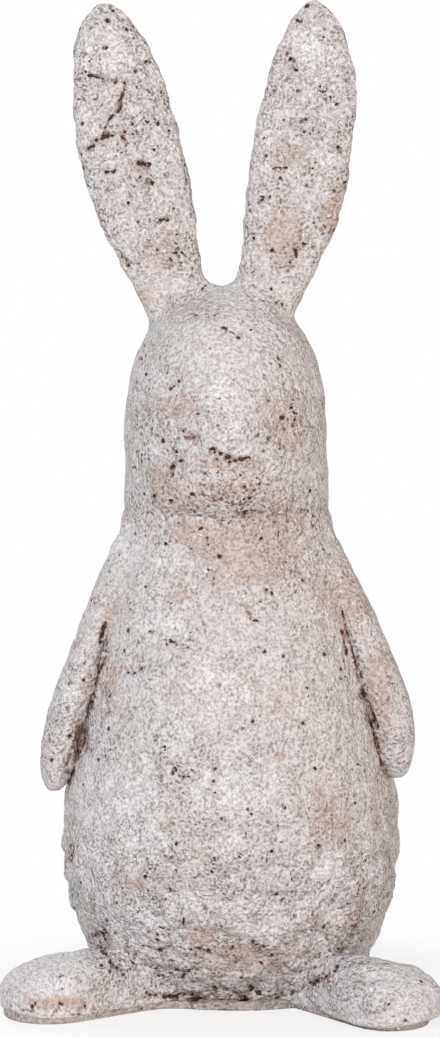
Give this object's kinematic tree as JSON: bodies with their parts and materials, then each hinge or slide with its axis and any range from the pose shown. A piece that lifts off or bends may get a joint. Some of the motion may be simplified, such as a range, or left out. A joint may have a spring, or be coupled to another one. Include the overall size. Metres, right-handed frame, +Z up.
{
  "type": "rabbit figurine",
  "caption": "Standing rabbit figurine in rough grey cement mortar: tall upright ears, egg-shaped body, arms at its sides, splayed feet on a thin base slab.",
  "frame": {"origin": "on the floor, at the centre of the figurine's bounding box in plan", "axes": "+Z up; the rabbit faces -Y; its own left side is +X"},
  "size_m": [0.1876, 0.1522, 0.4293],
  "materials": {
    "mortar_body": "rough pitted pale grey cement mortar",
    "mortar_ear": "rougher cement mortar with cracks and pits",
    "mortar_arm": "rough pitted pale grey cement mortar",
    "mortar_foot": "rough pale grey cement mortar",
    "mortar_slab": "smoother trowelled cement mortar",
    "plain_steel": "plain drawn steel bar, hidden inside the castings"
  },
  "bodies": {
    "root": {"base_slab": "mortar_slab", "trunk": "mortar_body", "head": "mortar_body", "tail": "mortar_body", "ear_left": "mortar_ear", "ear_right": "mortar_ear", "arm_left": "mortar_arm", "arm_right": "mortar_arm", "foot_left": "mortar_foot", "foot_right": "mortar_foot", "neck_rod": "plain_steel", "ear_rod_left": "plain_steel", "ear_rod_right": "plain_steel", "arm_dowel_left_upper": "plain_steel", "arm_dowel_left_lower": "plain_steel", "arm_dowel_right_upper": "plain_steel", "arm_dowel_right_lower": "plain_steel", "foot_dowel_left": "plain_steel", "foot_dowel_right": "plain_steel", "tail_dowel": "plain_steel"}
  },
  "joints": []
}
